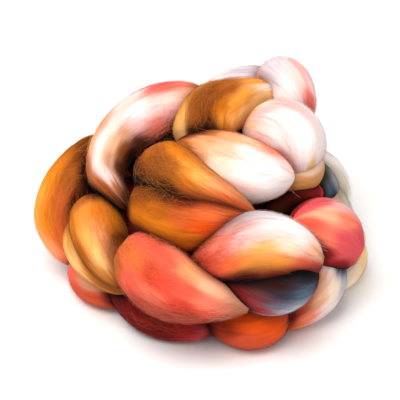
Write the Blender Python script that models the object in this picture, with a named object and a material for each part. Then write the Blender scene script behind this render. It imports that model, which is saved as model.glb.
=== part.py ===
"""A chained braid of combed wool roving, coiled into a two-tier heap that rests on its own flat spot.

One soft strand is crocheted into a chain and coiled, so what shows is the plump folds of the chain, each
tucked under the next.  Every fold is a ball drawn out along a bent spine; the folds and the packed wool
behind them are fused into one solid, then flattened where the heap rests.  Metres, +Z up, the resting
spot in the plane Z = 0 around the origin.
"""
import math

import bmesh
import bpy
from mathutils import Matrix, Vector

MM = 0.001

# The heap
HEART = Vector((0.0, 0.0, 35.0))      # folds swell away from this point (mm)
RINGS, SIDES = 12, 12                 # sections along a fold and facets round it
BACK_RINGS, BACK_SIDES = 10, 10       # the same for the folds round the back
BOX_REACH = 400.0                     # size of the block that flattens the resting spot (mm)
CREASE_ANGLE = 40.0                   # facets that meet sharper than this make a crease (degrees)

# Colour of the wool as a whole
WOOL_COLOUR = (0.62, 0.25, 0.16, 1.0)
WOOL_ROUGHNESS = 0.92

# Packed wool behind the folds: centre, half sizes (mm)
CORES = [
    # name          centre             half sizes
    ("lower_core", (2.0, 2.0, 32.0), (80.0, 66.0, 36.0)),
    ("upper_core", (2.0, 24.0, 74.0), (50.0, 42.0, 27.0)),
]

# Folds that face the front and top.
# path: points the spine runs through (mm); width: across the fold, along the heap; depth: away from the
# heart; belly: where the fold is widest, 0 to 1 along it; start and end: 0.5 for a round end up to 1 for
# one drawn out to a tip.
FOLDS = [
    # name  path                                            width depth belly start end
    ("A", [(48, 70, 103), (55, 50, 109), (69, 28, 98)], 36, 34, 0.42, 0.50, 0.60),
    ("B", [(-2, 60, 89), (24, 66, 97), (56, 62, 105)], 26, 30, 0.55, 0.55, 0.50),
    ("C", [(-3, 0, 91), (4, 18, 105), (22, 32, 108), (50, 47, 110)], 40, 36, 0.40, 0.50, 0.60),
    ("D", [(26, 20, 98), (53, 12, 98), (65, -2, 76)], 48, 42, 0.55, 0.55, 0.52),
    ("E", [(66, 14, 91), (63, 0, 76), (38, -12, 67)], 23, 26, 0.50, 0.55, 0.55),
    ("F", [(-14, 5, 94), (20, -19, 93), (57, -20, 86)], 44, 38, 0.48, 0.55, 0.58),
    ("G1", [(-28, -9, 92), (-11, -34, 91), (33, -56, 85)], 41, 36, 0.34, 0.50, 0.82),
    ("G2", [(-37, -26, 81), (-12, -47, 76), (35, -62, 81)], 41, 40, 0.42, 0.50, 0.75),
    ("H", [(4, 36, 106), (-27, 27, 104), (-50, 14, 93), (-58, -8, 80), (-43, -30, 70)],
     36, 34, 0.28, 0.50, 0.62),
    ("I", [(-56, 52, 72), (-77, 26, 62), (-89, 2, 43), (-80, -13, 14)], 37, 34, 0.55, 0.55, 0.52),
    ("J1", [(-66, -12, 66), (-61, -36, 55), (-45, -58, 31)], 33, 34, 0.45, 0.50, 0.60),
    ("J2", [(-73, -18, 57), (-68, -35, 43), (-44, -58, 28)], 24, 28, 0.50, 0.50, 0.60),
    ("K", [(-76, -6, 14), (-66, -30, 14), (-38, -50, 15)], 27, 27, 0.42, 0.50, 0.55),
    ("L", [(-43, -52, 61), (-16, -78, 49), (30, -88, 40)], 42, 40, 0.38, 0.50, 0.84),
    ("M", [(-56, -40, 22), (-28, -61, 15), (12, -71, 12)], 27, 28, 0.55, 0.50, 0.55),
    ("N", [(-5, -63, 52), (34, -68, 69), (71, -57, 48)], 44, 41, 0.50, 0.64, 0.50),
    ("O", [(10, -69, 54), (43, -75, 49), (69, -56, 46)], 38, 36, 0.50, 0.60, 0.60),
    ("P", [(-4, -62, 16), (28, -72, 16), (52, -60, 17)], 31, 33, 0.60, 0.50, 0.50),
    ("Q", [(77, -22, 40), (73, -46, 22), (42, -67, 8)], 31, 30, 0.45, 0.55, 0.55),
    ("R", [(55, -38, 67), (80, -28, 49), (90, -24, 25)], 43, 38, 0.50, 0.55, 0.55),
    ("S1", [(60, 40, 66), (80, 30, 50), (89, 8, 34)], 32, 32, 0.50, 0.50, 0.50),
    ("S2", [(60, 22, 72), (74, 14, 60), (84, 0, 50)], 25, 24, 0.50, 0.50, 0.50),
    ("U", [(74, 20, 58), (84, 0, 42), (84, -14, 20)], 26, 28, 0.50, 0.50, 0.50),
    ("T", [(92, 4, 34), (94, -8, 14), (82, -26, 4)], 26, 26, 0.45, 0.50, 0.50),
    ("V", [(40, -24, 62), (62, -10, 66), (76, 4, 58)], 18, 18, 0.50, 0.55, 0.55),
]

# Rows of leaning folds round the back: middle and half sizes of the ring they follow, bearings where the
# first and last fold start (degrees, +Y is 90), how many, bearing each sweeps through, heights it runs from
# and to, width and depth (mm)
BACK_ROWS = [
    # name        middle       ring        bearings  count sweep heights  width depth
    ("low_lower", (-2.0, 6.0), (80.0, 68.0), (180, 62), 4, 58, (6, 32), 38, 36),
    ("low_upper", (-2.0, 6.0), (82.0, 70.0), (172, 78), 4, 58, (66, 36), 42, 38),
    ("top_lower", (2.0, 22.0), (56.0, 50.0), (180, 74), 3, 72, (58, 80), 38, 38),
    ("top_upper", (0.0, 26.0), (46.0, 40.0), (150, 92), 2, 66, (84, 77), 42, 40),
]
TUCK = 0.78                           # how far in towards the ring's middle a back fold starts
BACK_BELLY, BACK_START, BACK_END = 0.42, 0.50, 0.62


def clear_scene():
    """Empty the scene before anything is made."""
    for thing in list(bpy.data.objects):
        bpy.data.objects.remove(thing, do_unlink=True)
    for mesh in list(bpy.data.meshes):
        bpy.data.meshes.remove(mesh)


def through(points, t):
    """The point at t (0 to 1) of a smooth line through the points."""
    last = len(points) - 1
    at = min(max(t, 0.0), 1.0) * last
    k = min(int(at), last - 1)
    u = at - k
    p1, p2 = points[k], points[k + 1]
    p0 = points[k - 1] if k > 0 else p1 * 2.0 - p2
    p3 = points[k + 2] if k + 2 <= last else p2 * 2.0 - p1
    return 0.5 * (p1 * 2.0 + (p2 - p0) * u + (p0 * 2.0 - p1 * 5.0 + p2 * 4.0 - p3) * u * u
                  + (p1 * 3.0 - p0 - p2 * 3.0 + p3) * u ** 3)


def swell(t, belly, start, end):
    """How full a fold is at t: none at the ends, 1 at the belly."""
    warped = t ** (math.log(0.5) / math.log(belly))
    return max(0.0, 1.0 - (2.0 * warped - 1.0) ** 2) ** (start if warped < 0.5 else end)


def fold_mesh(bm, path, width, depth, belly, start, end, rings=RINGS, sides=SIDES):
    """One fold: a ball drawn out along its spine, flatter or fuller across than outward."""
    spine = [Vector(p) for p in path]
    step = 0.01
    rows = []
    for i in range(1, rings):
        t = 0.5 - 0.5 * math.cos(math.pi * i / rings)
        here = through(spine, t)
        along = (through(spine, t + step) - through(spine, t - step)).normalized()
        out = here - HEART
        out = (out - along * out.dot(along)).normalized()
        full = swell(t, belly, start, end)
        across = along.cross(out) * (width * 0.5 * full)
        out = out * (depth * 0.5 * full)
        row = []
        for j in range(sides):
            a = 2.0 * math.pi * j / sides
            row.append(bm.verts.new((here + across * math.cos(a) + out * math.sin(a)) * MM))
        rows.append(row)
    first = bm.verts.new(spine[0] * MM)
    final = bm.verts.new(spine[-1] * MM)
    for j in range(sides):
        n = (j + 1) % sides
        bm.faces.new((first, rows[0][n], rows[0][j]))
        bm.faces.new((final, rows[-1][j], rows[-1][n]))
        for a, b in zip(rows, rows[1:]):
            bm.faces.new((a[j], a[n], b[n], b[j]))


def mesh_object(name, fill):
    """A mesh object whose faces the fill function makes."""
    bm = bmesh.new()
    fill(bm)
    bmesh.ops.recalc_face_normals(bm, faces=bm.faces)
    bmesh.ops.triangulate(bm, faces=bm.faces)
    mesh = bpy.data.meshes.new(name)
    bm.to_mesh(mesh)
    bm.free()
    thing = bpy.data.objects.new(name, mesh)
    bpy.context.collection.objects.link(thing)
    return thing


def core_object(name, centre, half):
    """A ball of packed wool."""
    shape = Matrix.Translation(Vector(centre) * MM) @ Matrix.Diagonal((*(Vector(half) * MM), 1.0))
    return mesh_object(name, lambda bm: bmesh.ops.create_uvsphere(bm, u_segments=20, v_segments=10,
                                                                  radius=1.0, matrix=shape))


def combine(body, other, how):
    """Fuse or cut the body with the other solid, which is then removed."""
    step = body.modifiers.new(how.lower(), "BOOLEAN")
    step.operation = how
    step.solver = "MANIFOLD"
    step.object = other
    depsgraph = bpy.context.evaluated_depsgraph_get()
    mesh = bpy.data.meshes.new_from_object(body.evaluated_get(depsgraph))
    body.modifiers.clear()
    old = body.data
    body.data = mesh
    bpy.data.meshes.remove(old)
    bpy.data.objects.remove(other, do_unlink=True)


def keep_outer_shell(body):
    """Drop the hollows sealed in between folds, leaving the outer skin alone."""
    bm = bmesh.new()
    bm.from_mesh(body.data)
    left = set(bm.faces)
    shells = []
    while left:
        seed = left.pop()
        shell = {seed}
        edge = [seed]
        while edge:
            face = edge.pop()
            for side in face.edges:
                for near in side.link_faces:
                    if near in left:
                        left.remove(near)
                        shell.add(near)
                        edge.append(near)
        shells.append(shell)
    shells.sort(key=lambda shell: sum(face.calc_area() for face in shell))
    for shell in shells[:-1]:
        bmesh.ops.delete(bm, geom=list(shell), context="FACES")
    loose = [v for v in bm.verts if not v.link_faces]
    bmesh.ops.delete(bm, geom=loose, context="VERTS")
    bm.to_mesh(body.data)
    bm.free()


def back_folds():
    """The leaning folds round the back, as rows like those in FOLDS."""
    rows = []
    for name, middle, ring, bearings, count, sweep, heights, width, depth in BACK_ROWS:
        for k in range(count):
            first = bearings[0] + (bearings[1] - bearings[0]) * k / (count - 1)
            path = []
            for part, reach in ((0.0, TUCK), (0.5, 1.0), (1.0, 0.96)):
                a = math.radians(first - sweep * part)
                path.append((middle[0] + ring[0] * reach * math.cos(a),
                             middle[1] + ring[1] * reach * math.sin(a),
                             heights[0] + (heights[1] - heights[0]) * part))
            rows.append((f"{name}_{k}", path, width, depth, BACK_BELLY, BACK_START, BACK_END))
    return rows


def main():
    clear_scene()
    pieces = [core_object(*row) for row in CORES]
    for name, *shape in FOLDS:
        pieces.append(mesh_object(name, lambda bm: fold_mesh(bm, *shape)))
    for name, *shape in back_folds():
        pieces.append(mesh_object(name, lambda bm: fold_mesh(bm, *shape, BACK_RINGS, BACK_SIDES)))
    body = pieces[0]
    body.name = "roving"
    for piece in pieces[1:]:
        combine(body, piece, "UNION")
    floor = mesh_object("floor_block", lambda bm: bmesh.ops.create_cube(
        bm, size=BOX_REACH * MM, matrix=Matrix.Translation((0.0, 0.0, -0.5 * BOX_REACH * MM))))
    combine(body, floor, "DIFFERENCE")
    keep_outer_shell(body)
    wool = bpy.data.materials.new("wool")
    wool.use_nodes = True
    shader = wool.node_tree.nodes["Principled BSDF"]
    shader.inputs["Base Color"].default_value = WOOL_COLOUR
    shader.inputs["Roughness"].default_value = WOOL_ROUGHNESS
    shader.inputs["Metallic"].default_value = 0.0
    body.data.materials.clear()
    body.data.materials.append(wool)
    body.data.shade_smooth()
    body.data.set_sharp_from_angle(angle=math.radians(CREASE_ANGLE))


main()
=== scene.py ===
"""Dyed wool roving, chained and coiled into a two-tier heap.

A soft strand of combed wool is crocheted into a chain, and the chain is coiled, so what shows is its plump
folds, each tucked under the next.  A fold is a ball drawn out along a bent spine, with combed ridges along
it and its own run of dyes.  Loose fibres lie on the folds and stand off them, and curly fuzz is raised
where the wool has been rubbed.
"""
import math

import bpy
import numpy as np
from bpy.props import FloatProperty, FloatVectorProperty, IntProperty, PointerProperty
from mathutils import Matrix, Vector, noise


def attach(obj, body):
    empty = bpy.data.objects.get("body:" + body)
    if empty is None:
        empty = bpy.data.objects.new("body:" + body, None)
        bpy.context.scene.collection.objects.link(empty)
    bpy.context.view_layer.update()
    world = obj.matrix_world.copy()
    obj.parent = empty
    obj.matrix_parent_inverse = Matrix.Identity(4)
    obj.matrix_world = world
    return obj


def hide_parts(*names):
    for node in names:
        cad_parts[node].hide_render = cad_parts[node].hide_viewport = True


bl_info = {
    "name": "Dyed wool roving",
    "version": (1, 0, 0),
    "blender": (4, 5, 0),
    "location": "View3D > Sidebar > Roving",
    "description": "A chained and coiled heap of dyed wool roving, with its stage",
    "category": "Object",
}

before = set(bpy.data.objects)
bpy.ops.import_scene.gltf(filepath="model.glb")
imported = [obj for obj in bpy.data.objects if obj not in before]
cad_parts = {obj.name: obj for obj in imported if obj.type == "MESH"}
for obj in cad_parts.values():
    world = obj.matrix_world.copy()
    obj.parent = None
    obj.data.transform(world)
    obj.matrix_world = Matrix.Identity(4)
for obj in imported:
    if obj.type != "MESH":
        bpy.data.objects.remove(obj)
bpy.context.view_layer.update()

BODY = "root"
NODE = "roving"
MM = 0.001
HEART = np.array((0.0, 0.0, 35.0))    # folds swell away from this point (mm)

# Balls of packed wool behind the folds: name, centre, half sizes (mm)
CORES = [
    ("lower_core", (2.0, 2.0, 32.0), (80.0, 66.0, 36.0)),
    ("upper_core", (2.0, 24.0, 74.0), (50.0, 42.0, 27.0)),
]

# Folds that face the front and top.
# path: points the spine runs through (mm); width: across the fold, along the heap; depth: away from the
# heart; belly: where the fold is widest, 0 to 1 along it; start and end: 0.5 for a round end up to 1 for
# one drawn out to a tip.
CROWN_FOLDS = [
    # name  path                                            width depth belly start end
    ("A", [(48, 70, 103), (55, 50, 109), (69, 28, 98)], 36, 34, 0.42, 0.50, 0.60),
    ("B", [(-2, 60, 89), (24, 66, 97), (56, 62, 105)], 26, 30, 0.55, 0.55, 0.50),
    ("C", [(-3, 0, 91), (4, 18, 105), (22, 32, 108), (50, 47, 110)], 40, 36, 0.40, 0.50, 0.60),
    ("D", [(26, 20, 98), (53, 12, 98), (65, -2, 76)], 48, 42, 0.55, 0.55, 0.52),
    ("E", [(66, 14, 91), (63, 0, 76), (38, -12, 67)], 23, 26, 0.50, 0.55, 0.55),
    ("F", [(-14, 5, 94), (20, -19, 93), (57, -20, 86)], 44, 38, 0.48, 0.55, 0.58),
    ("G1", [(-28, -9, 92), (-11, -34, 91), (33, -56, 85)], 41, 36, 0.34, 0.50, 0.82),
    ("G2", [(-37, -26, 81), (-12, -47, 76), (35, -62, 81)], 41, 40, 0.42, 0.50, 0.75),
    ("H", [(4, 36, 106), (-27, 27, 104), (-50, 14, 93), (-58, -8, 80), (-43, -30, 70)],
     36, 34, 0.28, 0.50, 0.62),
]
RIM_FOLDS = [
    ("I", [(-56, 52, 72), (-77, 26, 62), (-89, 2, 43), (-80, -13, 14)], 37, 34, 0.55, 0.55, 0.52),
    ("J1", [(-66, -12, 66), (-61, -36, 55), (-45, -58, 31)], 33, 34, 0.45, 0.50, 0.60),
    ("J2", [(-73, -18, 57), (-68, -35, 43), (-44, -58, 28)], 24, 28, 0.50, 0.50, 0.60),
    ("K", [(-76, -6, 14), (-66, -30, 14), (-38, -50, 15)], 27, 27, 0.42, 0.50, 0.55),
    ("L", [(-43, -52, 61), (-16, -78, 49), (30, -88, 40)], 42, 40, 0.38, 0.50, 0.84),
    ("M", [(-56, -40, 22), (-28, -61, 15), (12, -71, 12)], 27, 28, 0.55, 0.50, 0.55),
    ("N", [(-5, -63, 52), (34, -68, 69), (71, -57, 48)], 44, 41, 0.50, 0.64, 0.50),
    ("O", [(10, -69, 54), (43, -75, 49), (69, -56, 46)], 38, 36, 0.50, 0.60, 0.60),
    ("P", [(-4, -62, 16), (28, -72, 16), (52, -60, 17)], 31, 33, 0.60, 0.50, 0.50),
    ("Q", [(77, -22, 40), (73, -46, 22), (42, -67, 8)], 31, 30, 0.45, 0.55, 0.55),
    ("R", [(55, -38, 67), (80, -28, 49), (90, -24, 25)], 43, 38, 0.50, 0.55, 0.55),
    ("S1", [(60, 40, 66), (80, 30, 50), (89, 8, 34)], 32, 32, 0.50, 0.50, 0.50),
    ("S2", [(60, 22, 72), (74, 14, 60), (84, 0, 50)], 25, 24, 0.50, 0.50, 0.50),
    ("U", [(74, 20, 58), (84, 0, 42), (84, -14, 20)], 26, 28, 0.50, 0.50, 0.50),
    ("T", [(92, 4, 34), (94, -8, 14), (82, -26, 4)], 26, 26, 0.45, 0.50, 0.50),
    ("V", [(40, -24, 62), (62, -10, 66), (76, 4, 58)], 18, 18, 0.50, 0.55, 0.55),
]

# Rows of leaning folds round the back: middle and half sizes of the ring they follow, bearings where the
# first and last fold start (degrees, +Y is 90), how many, bearing each sweeps through, heights it runs from
# and to, width and depth (mm)
BACK_ROWS = [
    # name        middle       ring        bearings  count sweep heights  width depth
    ("low_lower", (-2.0, 6.0), (80.0, 68.0), (180, 62), 4, 58, (6, 32), 38, 36),
    ("low_upper", (-2.0, 6.0), (82.0, 70.0), (172, 78), 4, 58, (66, 36), 42, 38),
    ("top_lower", (2.0, 22.0), (56.0, 50.0), (180, 74), 3, 72, (58, 80), 38, 38),
    ("top_upper", (0.0, 26.0), (46.0, 40.0), (150, 92), 2, 66, (84, 77), 42, 40),
]
TUCK = 0.78                           # how far in towards the ring's middle a back fold starts
BACK_BELLY, BACK_START, BACK_END = 0.42, 0.50, 0.62

# Pinched creases: fold, around (degrees from the crest), half width (degrees), depth (mm), from and to
CREASES = [
    ("C", 38, 9, 1.8, 0.10, 0.75),
    ("C", 78, 8, 0.9, 0.25, 0.80),
    ("F", -8, 8, 1.0, 0.10, 0.60),
    ("F", 48, 9, 1.1, 0.05, 0.70),
    ("F", -52, 8, 0.9, 0.25, 0.95),
    ("D", 18, 9, 1.0, 0.10, 0.85),
    ("D", 78, 9, 0.9, 0.15, 0.90),
    ("G1", -12, 8, 1.0, 0.10, 0.85),
    ("G1", -52, 8, 0.8, 0.20, 0.90),
    ("G2", 12, 8, 1.0, 0.10, 0.80),
    ("H", -72, 8, 1.0, 0.20, 0.90),
    ("H", -18, 8, 0.8, 0.15, 0.80),
    ("I", -38, 8, 0.9, 0.20, 0.95),
    ("I", -82, 8, 1.0, 0.20, 0.80),
    ("J1", -22, 8, 1.1, 0.20, 0.95),
    ("L", 14, 8, 1.1, 0.10, 0.75),
    ("L", -38, 8, 0.9, 0.15, 0.95),
    ("N", 22, 8, 1.4, 0.25, 0.90),
    ("N", -42, 8, 0.9, 0.20, 0.90),
    ("R", 22, 9, 1.1, 0.10, 0.85),
    ("Q", 48, 8, 1.0, 0.20, 0.90),
    ("A", 22, 8, 0.9, 0.15, 0.90),
]

# Dyes along each fold: how far along (0 to 1), bearing round it (degrees from the crest), dye
# Marks next to the seams between folds are dye darkened with painted shade, and the darkest marks on the
# sides that face the hollows are painted shade alone.
DYE_RUNS = {
    "A": ((0.3, 105, "mauve"), (0.4, 60, "lilac"), (0.5, 90, "lilac"), (0.55, 15, "rose_pink"),
          (0.65, 75, "pearl"), (0.65, 45, "blush"), (0.75, 105, "white"), (0.75, 15, "blush"),
          (0.85, 40, "coral"), (0.85, 20, "raspberry"), (0.4, -70, "rose_pink")),
    "B": ((0.1, 30, "caramel"), (0.35, 45, "pearl"), (0.55, 60, "lilac"), (0.75, 45, "lilac"),
          (0.9, 60, "mauve"), (0.6, -60, "rose_pink")),
    "C": ((0.1, -30, "straw"), (0.25, -35, "pale_gold"), (0.4, -35, "honey"), (0.15, 0, "brown"),
          (0.3, 5, "brown"), (0.2, 30, "umber"), (0.4, 25, "brown"), (0.6, 20, "caramel"),
          (0.25, 70, "gold"), (0.4, 48, "ochre"), (0.4, 85, "pale_gold"), (0.5, 68, "gold"),
          (0.6, 95, "straw"), (0.7, 55, "gold"), (0.85, 20, "gold"), (0.8, 80, "straw"),
          (0.9, 45, "cream"), (0.5, -90, "caramel")),
    "D": ((0.1, 30, "pale_gold"), (0.1, 75, "peach"), (0.25, 45, "rose_pink"), (0.2, 15, "cream"),
          (0.2, 95, "blush"), (0.4, 15, "rose_pink"), (0.4, 60, "pearl"), (0.45, 100, "pearl"),
          (0.6, 45, "white"), (0.6, 80, "pearl"), (0.75, 105, "rose_pink"), (0.8, 60, "white"),
          (0.8, 25, "pearl"), (0.95, 45, "straw"), (0.5, -5, "pearl")),
    "E": ((0.3, 30, "cream"), (0.5, 30, "cream"), (0.5, 0, "straw"), (0.65, 10, "straw"),
          (0.65, -20, "pale_gold"), (0.8, -10, "honey"), (0.85, -40, "brown")),
    "F": ((0.1, 0, "caramel"), (0.15, 40, "amber"), (0.25, -20, "caramel"), (0.3, 15, "apricot"),
          (0.3, 45, "apricot"), (0.45, -20, "apricot"), (0.45, 20, "peach"), (0.6, -25, "peach"),
          (0.45, 45, "cream"), (0.6, 5, "pearl"), (0.6, 35, "white"), (0.8, 20, "white"),
          (0.75, 50, "white"), (0.75, -35, "salmon"), (0.6, 70, "blush"), (0.7, 90, "pearl"),
          (0.6, 105, "peach"), (0.9, 0, "blush"), (0.9, 60, "pearl")),
    "G1": ((0.1, -40, "ochre"), (0.25, -40, "amber"), (0.4, -40, "marigold"), (0.55, -25, "gold"),
           (0.65, -15, "pale_gold"), (0.2, -5, "caramel"), (0.15, 40, "umber"), (0.35, 10, "brown"),
           (0.3, 45, "umber"), (0.45, -10, "caramel"), (0.5, 30, "umber"), (0.6, 5, "amber"),
           (0.65, 30, "rust"), (0.75, -20, "apricot"), (0.8, 25, "rust"), (0.85, 0, "tangerine"),
           # G1's brown mark at -110 degrees is painted shade of the hollow between G1 and H.
           (0.3, -110, "brown")),
    "G2": ((0.1, 0, "brown"), (0.1, 40, "soot"), (0.25, -10, "brown"), (0.25, 35, "ochre"),
           (0.4, -30, "umber"), (0.4, 5, "ochre"), (0.45, 30, "amber"), (0.55, -30, "russet"),
           (0.6, 0, "rust"), (0.6, 35, "ochre"), (0.7, 15, "orange"), (0.75, -20, "tangerine"),
           (0.9, -10, "brick")),
    "H": ((0.1, -20, "salmon"), (0.2, -10, "raspberry"), (0.2, -35, "coral"), (0.1, -60, "peach"),
          (0.2, -60, "blush"), (0.2, -90, "rose_pink"), (0.2, -120, "brick"), (0.35, -15, "blush"),
          # H's umber, brown and soot marks at -95 degrees and beyond are painted shade of the hollow under
          # it.
          (0.35, -60, "pearl"), (0.3, -110, "salmon"), (0.4, -85, "rose_pink"), (0.45, -110, "umber"),
          (0.5, -5, "fawn"), (0.5, -45, "blush"), (0.5, -75, "fawn"), (0.6, 5, "apricot"),
          (0.6, -30, "pearl"), (0.6, -60, "peach"), (0.6, -95, "brown"), (0.6, -120, "soot"),
          (0.7, 10, "caramel"), (0.7, -30, "blush"), (0.7, -60, "fawn"), (0.75, -100, "umber"),
          (0.8, -45, "blush"), (0.85, -5, "caramel"), (0.85, 50, "umber"), (0.9, -50, "caramel"),
          (0.95, 0, "umber"), (0.3, 80, "rust")),
    "I": ((0.1, -45, "brown"), (0.2, -60, "caramel"), (0.3, -90, "caramel"), (0.35, -40, "amber"),
          # I's soot marks at -120 degrees are painted shade of the hollow between I, H and J1.
          (0.45, -90, "caramel"), (0.4, -120, "soot"), (0.5, -50, "marigold"), (0.6, -35, "gold"),
          (0.6, -95, "rust"), (0.6, -120, "soot"), (0.7, -60, "marigold"), (0.75, -90, "rust"),
          (0.85, -40, "apricot"), (0.95, -50, "salmon"), (0.4, 60, "caramel")),
    # J1's soot mark at -110 degrees is painted shade of that hollow too.
    "J1": ((0.1, -60, "umber"), (0.2, -30, "caramel"), (0.2, -110, "soot"), (0.35, -35, "honey"),
           (0.4, -65, "marigold"), (0.4, -95, "amber"), (0.4, 0, "amber"), (0.55, -30, "pale_gold"),
           (0.55, -60, "apricot"), (0.55, -90, "amber"), (0.6, 0, "ochre"), (0.7, -35, "straw"),
           (0.7, -65, "apricot"), (0.8, -75, "amber"), (0.85, -15, "honey"), (0.95, -30, "ochre")),
    "J2": ((0.2, 0, "honey"), (0.4, -15, "pale_gold"), (0.55, -10, "straw"), (0.7, -35, "marigold"),
           (0.9, -10, "honey")),
    "K": ((0.15, -30, "rose_pink"), (0.35, -30, "coral"), (0.45, -10, "brick"), (0.6, -55, "fawn"),
          (0.65, -20, "brick"), (0.8, -30, "russet"), (0.95, -20, "maroon")),
    "L": ((0.1, -20, "rust"), (0.1, 20, "caramel"), (0.2, -60, "coral"), (0.2, -95, "brick"),
          (0.25, -25, "tangerine"), (0.3, 5, "coral"), (0.4, -60, "coral"), (0.4, -95, "salmon"),
          (0.4, -25, "red"), (0.45, 5, "salmon"), (0.5, -30, "poppy"), (0.45, 30, "crimson"),
          (0.6, -35, "coral"), (0.6, -70, "apricot"), (0.6, 0, "red"), (0.65, 30, "crimson"),
          (0.75, -60, "peach"), (0.75, -15, "salmon"), (0.8, 10, "coral"), (0.85, 35, "crimson"),
          (0.9, -50, "peach")),
    "M": ((0.3, -20, "maroon"), (0.6, -20, "maroon"), (0.8, -30, "crimson"), (0.95, -20, "raspberry")),
    "N": ((0.1, -20, "brick"), (0.2, -25, "red"), (0.2, -65, "rust"), (0.2, 5, "coral"),
          (0.2, 35, "maroon"), (0.3, -40, "salmon"), (0.4, -60, "mauve"), (0.35, 0, "tangerine"),
          (0.45, 5, "honey"), (0.45, -30, "rose_pink"), (0.5, -80, "lilac"), (0.55, -45, "pearl"),
          (0.5, -10, "pale_gold"), (0.6, 10, "gold"), (0.6, -15, "cream"), (0.65, -60, "white"),
          (0.7, -35, "white"), (0.7, 10, "coral"), (0.8, -25, "peach"), (0.85, 10, "coral"),
          (0.4, 35, "maroon"), (0.6, 40, "crimson"), (0.8, 35, "crimson")),
    "O": ((0.1, 0, "maroon"), (0.25, 20, "crimson"), (0.3, -20, "soot"), (0.4, 10, "plum"),
          (0.4, 35, "crimson"), (0.45, -20, "soot"), (0.5, 0, "navy"), (0.5, 20, "slate"),
          (0.65, 0, "slate"), (0.55, 32, "silver"), (0.7, -25, "navy"), (0.85, 0, "umber")),
    "P": ((0.2, -30, "maroon"), (0.35, -30, "russet"), (0.5, -15, "brick"), (0.55, -45, "orange"),
          (0.7, -30, "orange"), (0.85, -40, "brick"), (0.95, -30, "maroon")),
    "Q": ((0.1, 45, "navy"), (0.3, 30, "slate"), (0.3, 70, "pearl"), (0.4, 10, "silver"),
          (0.45, 90, "peach"), (0.5, 40, "cream"), (0.6, 10, "pearl"), (0.6, 50, "peach"),
          (0.75, 20, "salmon"), (0.75, 60, "brick"), (0.85, 10, "tangerine"), (0.9, 50, "poppy")),
    "R": ((0.05, -90, "crimson"), (0.1, -55, "raspberry"), (0.1, 0, "coral"), (0.25, -20, "peach"),
          (0.25, -60, "raspberry"), (0.25, 25, "salmon"), (0.4, -15, "salmon"), (0.4, -50, "rose_pink"),
          (0.4, 20, "raspberry"), (0.3, 55, "crimson"), (0.5, 40, "raspberry"), (0.6, 0, "raspberry"),
          (0.6, 65, "crimson"), (0.85, 0, "raspberry")),
    "S1": ((0.3, 0, "stone"), (0.5, 30, "white"), (0.8, 0, "white"), (0.6, 60, "stone")),
    "S2": ((0.2, 0, "olive"), (0.5, -20, "olive"), (0.5, 60, "olive"), (0.75, 20, "silver"),
           (0.85, 60, "slate")),
    "U": ((0.3, 0, "stone"), (0.6, 30, "stone"), (0.85, 0, "blush")),
    "T": ((0.2, 0, "stone"), (0.5, 30, "straw"), (0.6, 60, "cream"), (0.85, 20, "cream")),
    # V's umber and maroon marks are painted shade of the hollow it lies in; its crimson and red are dye.
    "V": ((0.1, 0, "umber"), (0.35, 0, "maroon"), (0.6, 0, "crimson"), (0.85, 0, "red")),
    "low_lower_0": ((0.3, 0, "rust"), (0.7, 0, "brick"), (0.7, -60, "crimson")),
    "low_lower_1": ((0.2, 0, "coral"), (0.6, 20, "blush"), (0.7, -60, "salmon")),
    "low_lower_2": ((0.3, 0, "peach"), (0.6, 40, "gold"), (0.7, -40, "amber")),
    "low_lower_3": ((0.2, 0, "slate"), (0.5, -40, "stone"), (0.8, 20, "cream")),
    "low_upper_0": ((0.2, 0, "caramel"), (0.5, 40, "gold"), (0.8, -20, "apricot")),
    "low_upper_1": ((0.2, 0, "blush"), (0.55, 30, "white"), (0.8, -30, "rose_pink")),
    "low_upper_2": ((0.2, 0, "coral"), (0.5, -30, "poppy"), (0.75, 30, "salmon")),
    "low_upper_3": ((0.2, 0, "plum"), (0.5, 20, "slate"), (0.8, -20, "olive")),
    "top_lower_0": ((0.2, 0, "rust"), (0.5, 30, "amber"), (0.8, -20, "pale_gold")),
    "top_lower_1": ((0.2, 0, "salmon"), (0.5, 0, "coral"), (0.8, 20, "brick")),
    "top_lower_2": ((0.2, 0, "pearl"), (0.55, 20, "white"), (0.8, -20, "blush")),
    "top_upper_0": ((0.2, 0, "coral"), (0.45, 30, "peach"), (0.75, -20, "gold")),
    "top_upper_1": ((0.2, 0, "cream"), (0.5, 20, "blush"), (0.8, -30, "rose_pink")),
    # The cores show only in the hollows, and their dark dyes are painted shade.
    "lower_core": ((0.5, 0, "maroon"), (0.5, 180, "umber")),
    "upper_core": ((0.5, 0, "soot"), (0.5, 180, "soot")),
}

# Wool rubbed up into curly fuzz: fold, how far along, bearing round it (degrees), spread along, spread
# round it (degrees), how many fibres, dye
FUZZ = [
    ("G1", 0.38, 12, 0.20, 32, 300, "honey"),
    ("G1", 0.45, -75, 0.18, 16, 150, "apricot"),
    ("G2", 0.35, -22, 0.18, 20, 150, "honey"),
    ("C", 0.40, 5, 0.22, 25, 240, "honey"),
    ("L", 0.55, 25, 0.24, 22, 560, "salmon"),
    ("L", 0.90, -10, 0.08, 45, 360, "peach"),
    ("L", 0.30, -40, 0.20, 50, 300, "apricot"),
    ("N", 0.28, -35, 0.10, 30, 220, "salmon"),
    ("M", 0.60, -40, 0.20, 18, 160, "coral"),
    ("I", 0.55, -85, 0.22, 25, 180, "honey"),
    ("H", 0.25, -100, 0.10, 20, 140, "rose_pink"),
    ("J1", 0.55, -75, 0.20, 25, 140, "honey"),
]

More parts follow.
